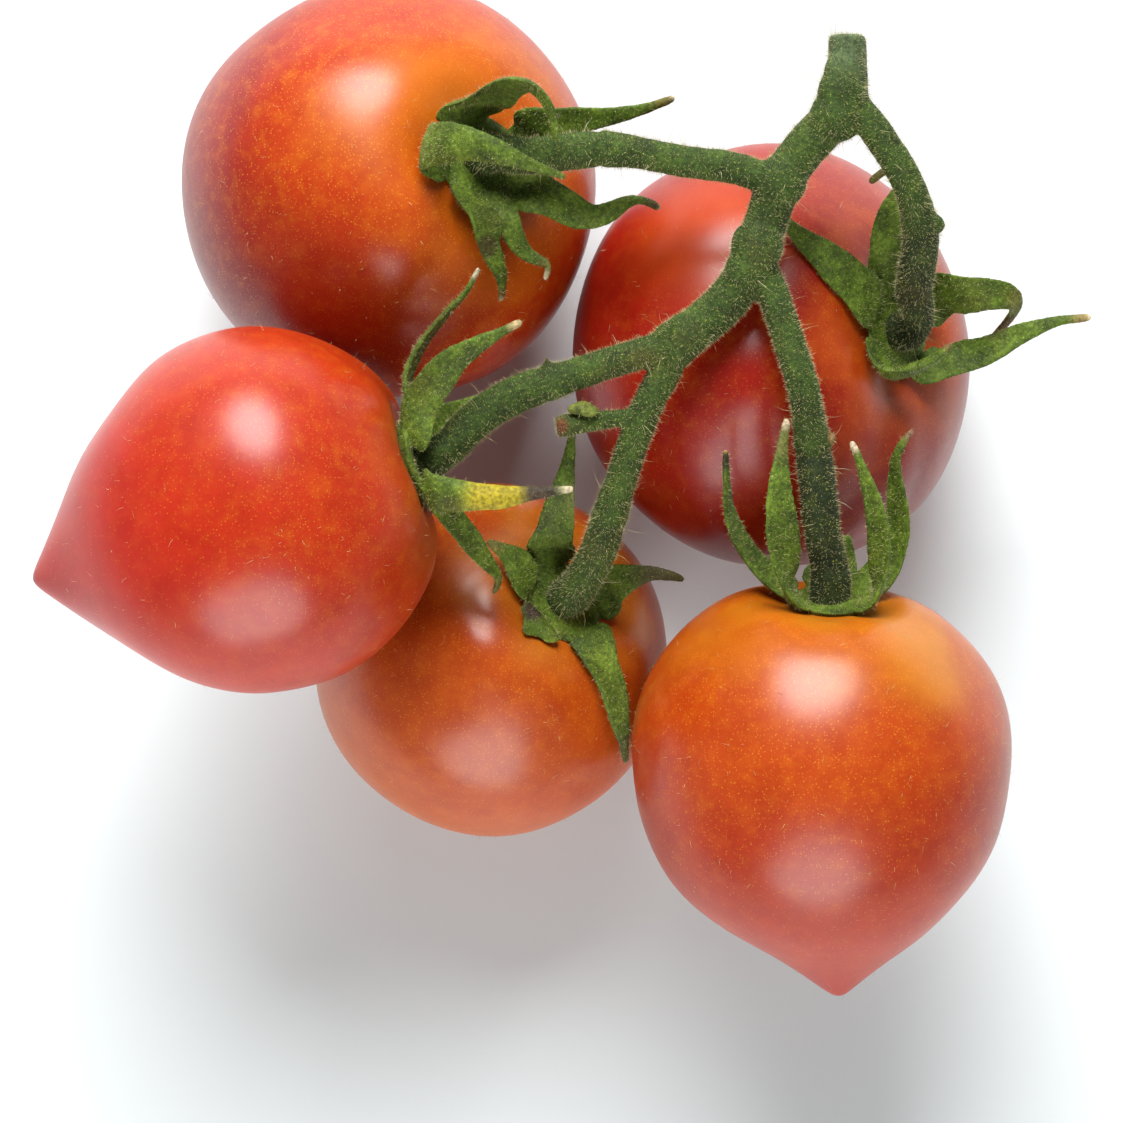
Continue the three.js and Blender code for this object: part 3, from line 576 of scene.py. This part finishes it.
def makeStalk(name):
    stalk = copyOfNode(f"pedicel_{name}", f"stalk_{name}")
    applyModifier(stalk, "SUBSURF", levels=3, render_levels=3)
    applyModifier(stalk, "DISPLACE", mid_level=0, strength=vineSet["stalkSwell"] * mm)
    # its foot is slimmer than the receptacle that hides in the cup
    points = pointsOf(stalk)
    axis, calyxPoint = tomatoSet[name]["axis"], tomatoSet[name]["calyx"]
    up = (points - calyxPoint) @ axis
    onAxis = calyxPoint + np.outer(up, axis)
    out = np.linalg.norm(points - onAxis, axis=1) / mm
    slim = np.minimum(1, vineSet["stalkFoot"] / np.maximum(out, 0.01))
    foot = 1 - softStep(up / mm, 2.2, 4.2)
    movePoints(stalk, onAxis + (points - onAxis) * (1 - foot * (1 - slim))[:, None])
    for size, depth in vineSet["ripples"]:
        cloudRipple(stalk, size, depth)
    paintColourPatches(stalk, calyxPoint, [vineSet["footStain"]])
    stalk.data.materials.append(greens["pedicel" if name in vineSet["darkStalks"] else "vine"])
    rideAndSlot(stalk, "pedicel", f"pedicel_{name}")
    return stalk


vine = makeVine()
stalks = [makeStalk(name) for name in tomatoSet]
print("vine and stalks grown")


# Calyxes: the sepals of a star join in a shallow cup round the stalk. The colour patches are dried tips
# and spots, as offsets from the calyx.
calyxSet = {
    "back_left": {"bearings": (36, 94, 178, 262, 304, 350), "colourPatches": [
        ((2.2, -12.6, 0.2), 2.2, "#6e5730", 0.9), ((2.2, -12.9, 0.2), 1.0, "#b9ac88", 0.9),
        ((1.0, -8.0, 3.2), 1.8, "#3f2e1e", 0.85), ((-4.6, 0.2, 4.6), 4.2, "#6f8e3c", 0.55),
        ((7.8, -2.6, 9), 2.2, "#7d8a40", 0.5), ((3.5, 5.5, 8), 4.5, "#3a4c1a", 0.5),
        ((17.2, 4.7, 4.3), 3.4, "#6c5a2c", 0.85), ((17.6, 4.8, 4.4), 1.1, "#b9a987", 1),
        ((16, -4.6, 0.9), 2.4, "#4c3a22", 0.9), ((16.3, -4.8, 0.9), 0.8, "#c9b890", 0.9),
        ((6.4, -9.8, 0.9), 1.8, "#6a602e", 0.8), ((6, -10.9, 1), 1.3, "#b7aa88", 1)]},
    "back_right": {"bearings": (58, 124, 178, 240, 325), "colourPatches": [
        ((4.4, -0.9, 4.2), 1.7, "#7a5c38", 0.9), ((-11.1, 10.8, 6), 3.0, "#2c2c14", 0.7),
        ((-1.6, 13.8, 5.2), 3.2, "#55401f", 0.85), ((9.5, 0.5, -1), 2.9, "#5e4226", 0.95),
        ((10.6, 2.8, 1.4), 2.2, "#6a5a2a", 0.7), ((6.6, 4.6, 2), 2.4, "#5f6f22", 0.5),
        ((17, 1.2, 2.5), 2.6, "#8a7448", 0.9), ((17.4, 1.2, 2.5), 1.0, "#cbbd9c", 1)]},
    "centre": {"bearings": (10, 88, 148, 206, 302), "colourPatches": [
        ((5, -13.9, -4.4), 6, "#433616", 0.8), ((-2.6, -0.7, 3.2), 1.7, "#3c2a26", 0.95),
        ((1.6, 9.6, 5.4), 2.6, "#a39c62", 0.6), ((10.7, 2, 3), 7.5, "#362417", 0.9),
        ((-6.6, 5.4, 3.2), 2.4, "#7c6e38", 0.8), ((0.9, 15.2, 7.2), 2.4, "#5a6420", 0.6)]},
    "left": {"bearings": (334, 50, 126, 186, 246), "colourPatches": [
        ((7.6, -3.0, 4.1), 4.6, "#b09c22", 0.9), ((11.2, -2.5, 3.6), 2.5, "#40302c", 0.95),
        ((13.9, -2.2, 3), 1.7, "#c2b494", 1), ((5.0, 4.2, 0.5), 2.6, "#6a4422", 0.45),
        ((9.5, 11.9, 5.9), 1.9, "#b39c72", 0.95), ((5.8, 16.7, 1.9), 1.7, "#b3a88c", 0.95),
        ((2.6, 12.6, 0.2), 3.6, "#4e3c1c", 0.6), ((7.0, -11, -6), 2.6, "#5a4a20", 0.8),
        ((4.6, -6.4, -3.4), 3.0, "#2e3a12", 0.6)]},
    "front_right": {"bearings": (34, 142, 200, 266, 324), "colourPatches": [
        ((1.5, 14, 5.9), 1.7, "#bfae92", 1), ((-4.2, 14.6, 6.1), 3.8, "#5f5a2c", 0.85),
        ((-4, 16.1, 5.7), 1.6, "#b5a486", 1), ((-9.2, 13.0, 3.6), 2.4, "#2c201c", 0.9),
        ((-9.2, 13.6, 3.8), 0.7, "#c9a05a", 1), ((7.2, 15.1, 1.2), 1.8, "#7c5c46", 0.95),
        ((-4.3, 5.0, 5.4), 4.0, "#57701e", 0.5), ((-7.8, 5.6, 0), 4.0, "#3a4418", 0.5)]},
}
cupSet = {
    "low": 2.9, "high": 4.4,  # radius at the foot and at the rim
    "depth": 1.3, "lift": 0.85, "rim": 0.7, "hollow": 0.85,
    "notch": (0.1, 0.35),  # share drawn in, and depth
    "notchEnds": (10, 32),  # degrees from the nearest sepal where it starts and is full
    "widen": 0.55,  # how much broader the sepals are where they leave the cup
    "leafSwell": 0.03, "base": (4.6, 6.6),  # the base is smoothed more, up to this far out
    "grain": 0.14, "smoothing": 4, "baseSmoothing": 22, "ripples": [(2.2, 0.25), (0.7, 0.07)],
}


def notchCup(cup, name, bearings):
    # the rim of the cup dips and draws in between two sepals
    axis = tomatoSet[name]["axis"]
    flatSide, rise = acrossStem(tomatoSet[name])
    points = pointsOf(cup)
    away = points - tomatoSet[name]["calyx"]
    up = away @ axis
    radial = away - np.outer(up, axis)
    bearing = np.degrees(np.arctan2(away @ rise, away @ flatSide))[:, None]
    apart = abs((bearing - np.array(bearings) + 180) % 360 - 180).min(axis=1)
    notch = softStep(apart, *cupSet["notchEnds"]) * (up > 0.3 * mm)
    movePoints(cup, points - radial * (notch * cupSet["notch"][0])[:, None]
               - np.outer(notch * cupSet["notch"][1] * mm, axis))


def widenBase(leaf, name, bearing):
    # a sepal is broadest where it leaves the cup
    axis = tomatoSet[name]["axis"]
    flatSide, rise = acrossStem(tomatoSet[name])
    turn = math.radians(bearing)
    outward = flatSide * math.cos(turn) + rise * math.sin(turn)
    side = np.cross(outward, axis)
    points = pointsOf(leaf)
    away = points - tomatoSet[name]["calyx"]
    reach = np.linalg.norm(away, axis=1) / mm
    share = cupSet["widen"] * (1 - softStep(reach, 4, 8.5)) * softStep(reach, 2.5, 4)
    movePoints(leaf, points + np.outer((away @ side) * share, side))


def makeCalyx(name, look):
    nodes = [f"sepal_{name}_{i + 1}" for i in range(len(look["bearings"]))]
    leaves = [copyOfNode(node, f"leaf_{node}") for node in nodes]
    for leaf, bearing in zip(leaves, look["bearings"]):
        applyModifier(leaf, "SUBSURF", levels=2, render_levels=2)
        applyModifier(leaf, "DISPLACE", mid_level=0, strength=cupSet["leafSwell"] * mm)
        widenBase(leaf, name, bearing)
    axis = Vector(tomatoSet[name]["axis"])
    calyxPoint = tomatoSet[name]["calyx"]
    bpy.ops.mesh.primitive_cone_add(
        vertices=40, radius1=cupSet["low"] * mm, radius2=cupSet["high"] * mm, depth=cupSet["depth"] * mm,
        location=Vector(calyxPoint) + axis * cupSet["lift"] * mm,
        rotation=axis.to_track_quat("Z", "Y").to_euler(),
    )
    cup = bpy.context.object
    bpy.ops.object.transform_apply(location=True, rotation=True, scale=True)
    for face in cup.data.polygons:
        face.select = face.normal.dot(axis) > 0.9
    bpy.ops.object.mode_set(mode="EDIT")
    bpy.ops.mesh.inset(thickness=cupSet["rim"] * mm)
    bpy.ops.transform.translate(value=-axis * cupSet["hollow"] * mm)
    bpy.ops.object.mode_set(mode="OBJECT")
    notchCup(cup, name, look["bearings"])
    calyx = joinInto(cup, *leaves)
    calyx.name = f"calyx_{name}"
    applyModifier(calyx, "REMESH", mode="VOXEL", voxel_size=cupSet["grain"] * mm, use_smooth_shade=True)
    reach = np.linalg.norm(pointsOf(calyx) - calyxPoint, axis=1) / mm
    base = weightPoints(calyx, "base", 1 - softStep(reach, *cupSet["base"]))
    applyModifier(calyx, "SMOOTH", factor=0.5, iterations=cupSet["baseSmoothing"], vertex_group=base)
    applyModifier(calyx, "SMOOTH", factor=0.5, iterations=cupSet["smoothing"])
    for size, depth in cupSet["ripples"]:
        cloudRipple(calyx, size, depth)
    calyx.vertex_groups.clear()
    paintColourPatches(calyx, calyxPoint, look["colourPatches"])
    calyx.data.materials.append(greens["sepal"])
    rideAndSlot(calyx, "sepal", *nodes)
    return calyx


calyxes = {name: makeCalyx(name, look) for name, look in calyxSet.items()}

budRipple = (0.9, 0.15)
bud = copyOfNode("withered_flower", "witheredFlower")
applyModifier(bud, "SUBSURF", levels=3, render_levels=3)
cloudRipple(bud, *budRipple)
paintColourPatches(bud, (0, 0, 0), [])
bud.data.materials.append(greens["withered_flower"])
rideAndSlot(bud, "withered_flower", "withered_flower")
print("calyxes and the withered flower made")


# Down: a tomato vine is furred all over with short pale hairs, with some long ones between them,
# and a few shed hairs lie on the fruit. Real ones are 0.01 to 0.05 mm thick.
downSet = {
    "vineDown": {"on": [vine], "count": 17000, "length": (0.16, 0.46), "thick": 0.028, "lean": 0.3,
                 "slot": "vine", "seed": 3},
    "stalkDown": {"on": stalks, "count": 9000, "length": (0.16, 0.48), "thick": 0.028, "lean": 0.3,
                  "slot": "pedicel", "seed": 5},
    "calyxDown": {"on": list(calyxes.values()) + [bud], "count": 17000, "length": (0.14, 0.5),
                  "thick": 0.026, "lean": 0.4, "slot": "sepal", "seed": 8},
    "longHairs": {"on": [vine, *stalks], "count": 460, "length": (0.7, 2.3), "thick": 0.036, "lean": 0.8,
                  "slot": "vine", "seed": 11},
    "shedHairs": {"on": list(skins.values()), "count": 2600, "length": (0.25, 0.85), "thick": 0.026,
                  "lean": 3.5, "slot": None, "seed": 13},
}
hairSet = {
    "colour": "#b9b07e", "roughness": 0.45,
    "rooted": 0.04,  # share of its length that is in the skin
    "bow": 0.3,  # how far its tip bows aside, as a share of its length
    "shortness": 1.6,  # more than 1 gives more short hairs than long ones
}
pale = bpy.data.materials.new("plantHair")  # dead or hollow cell walls: pale, slightly glossy
pale.use_nodes = True
paleShader = pale.node_tree.nodes["Principled BSDF"]
paleShader.inputs["Base Color"].default_value = linear(hairSet["colour"])
paleShader.inputs["Roughness"].default_value = hairSet["roughness"]


def makeHair():
    # a three-sided hair, 1 high and 1 across, drawn to a point: what is kept is its points and faces
    bpy.ops.mesh.primitive_cone_add(vertices=3, radius1=0.5, radius2=0.4, depth=0.5, location=(0, 0, 0.25))
    hair = bpy.context.object
    bpy.ops.object.transform_apply(location=True, rotation=True, scale=True)
    bpy.ops.object.mode_set(mode="EDIT")
    bpy.ops.mesh.select_all(action="DESELECT")
    bpy.ops.object.mode_set(mode="OBJECT")
    for face in hair.data.polygons:
        face.select = face.center.z > 0.49
    bpy.ops.object.mode_set(mode="EDIT")
    bpy.ops.mesh.extrude_region_move(TRANSFORM_OT_translate={"value": (0, 0, 0.5)})
    bpy.ops.mesh.merge(type="CENTER")
    bpy.ops.object.mode_set(mode="OBJECT")
    points, faces = pointsOf(hair), [list(face.vertices) for face in hair.data.polygons]
    bpy.data.objects.remove(hair)
    return points, faces


hairPoints, hairFaces = makeHair()


def unit(vectors):
    return vectors / np.maximum(np.linalg.norm(vectors, axis=1, keepdims=True), 1e-12)


def growHairs(name, down):
    random = np.random.default_rng(down["seed"])
    corners = []
    for piece in down["on"]:
        piece.data.calc_loop_triangles()
        triangles = np.empty(len(piece.data.loop_triangles) * 3, np.int32)
        piece.data.loop_triangles.foreach_get("vertices", triangles)
        corners.append(pointsOf(piece)[triangles.reshape(-1, 3)])
    corners = np.concatenate(corners)
    across = np.cross(corners[:, 1] - corners[:, 0], corners[:, 2] - corners[:, 0])
    area = np.linalg.norm(across, axis=1)
    chosen = random.choice(len(area), down["count"], p=area / area.sum())
    shares = random.random((down["count"], 2))
    over = shares.sum(axis=1) > 1
    shares[over] = 1 - shares[over]
    first, second, third = (corners[chosen, i] for i in range(3))
    roots = first + (second - first) * shares[:, :1] + (third - first) * shares[:, 1:]
    normals = unit(across[chosen])
    aside = unit(np.cross(normals, random.normal(size=normals.shape)))
    ways = unit(normals + aside * random.random((len(aside), 1)) * down["lean"])
    bends = unit(np.cross(ways, random.normal(size=ways.shape)))
    thirds = np.cross(ways, bends)
    low, high = down["length"]
    lengths = low + (high - low) * random.random(down["count"]) ** hairSet["shortness"]
    lengths = lengths[:, None] * mm
    points = []
    for x, y, z in hairPoints:
        bow = hairSet["bow"] * z * z * lengths
        points.append(roots + ways * lengths * (z - hairSet["rooted"])
                      + bends * (x * down["thick"] * mm + bow) + thirds * (y * down["thick"] * mm))
    points = np.stack(points, axis=1).reshape(-1, 3)
    faces = [[corner + start for corner in face]
             for start in range(0, len(points), len(hairPoints)) for face in hairFaces]
    mesh = bpy.data.meshes.new(name)
    mesh.from_pydata(points.tolist(), [], faces)
    hairs = bpy.data.objects.new(name, mesh)
    scene.collection.objects.link(hairs)
    mesh.materials.append(pale)
    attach(hairs, "root")
    return hairs


for name, down in downSet.items():
    growHairs(name, down)
print("down and hairs grown")


# Table and light
tableSet = {"width": 6, "colour": "#dce3e4", "roughness": 0.8}
bpy.ops.mesh.primitive_plane_add(size=tableSet["width"])
table = bpy.context.object
table.name = "whiteTable"
paint = bpy.data.materials.new("mattWhiteTable")
paint.use_nodes = True
paintShader = paint.node_tree.nodes["Principled BSDF"]
paintShader.inputs["Base Color"].default_value = linear(tableSet["colour"])
paintShader.inputs["Roughness"].default_value = tableSet["roughness"]
table.data.materials.append(paint)

lightSet = {
    "key": {"tilt": 48, "bearing": 95, "distance": 0.9, "size": 0.6, "power": 15},
    "fill": {"tilt": 64, "bearing": -92, "distance": 0.9, "size": 0.74, "power": 7.6},
}
for name, light in lightSet.items():
    tilt, bearing = math.radians(light["tilt"]), math.radians(light["bearing"])
    towards = Vector((math.sin(tilt) * math.cos(bearing), math.sin(tilt) * math.sin(bearing),
                      math.cos(tilt)))
    bpy.ops.object.light_add(type="AREA", location=towards * light["distance"],
                             rotation=towards.to_track_quat("Z", "Y").to_euler())
    lamp = bpy.context.object
    lamp.name = f"{name}Softbox"
    lamp.data.shape = "DISK"
    lamp.data.size = light["size"]
    lamp.data.energy = light["power"]

skySet = {"horizon": 0.4, "overhead": 0.17, "blendEnd": 0.6}  # brighter low down, as between white walls
world = bpy.data.worlds.new("whiteStudio")
world.use_nodes = True
sky = world.node_tree
direction = addNode(sky, "ShaderNodeTexCoord").outputs["Generated"]
upward = addNode(sky, "ShaderNodeSeparateXYZ", {}, {"Vector": direction}).outputs["Z"]
ceiling = addNode(sky, "ShaderNodeMapRange", {"From Max": skySet["blendEnd"], "To Min": skySet["horizon"],
                                              "To Max": skySet["overhead"]}, {"Value": upward})
sky.links.new(ceiling.outputs["Result"], sky.nodes["Background"].inputs["Strength"])
sky.nodes["Background"].inputs["Color"].default_value = (1, 1, 1, 1)
scene.world = world
print("table and lights set")
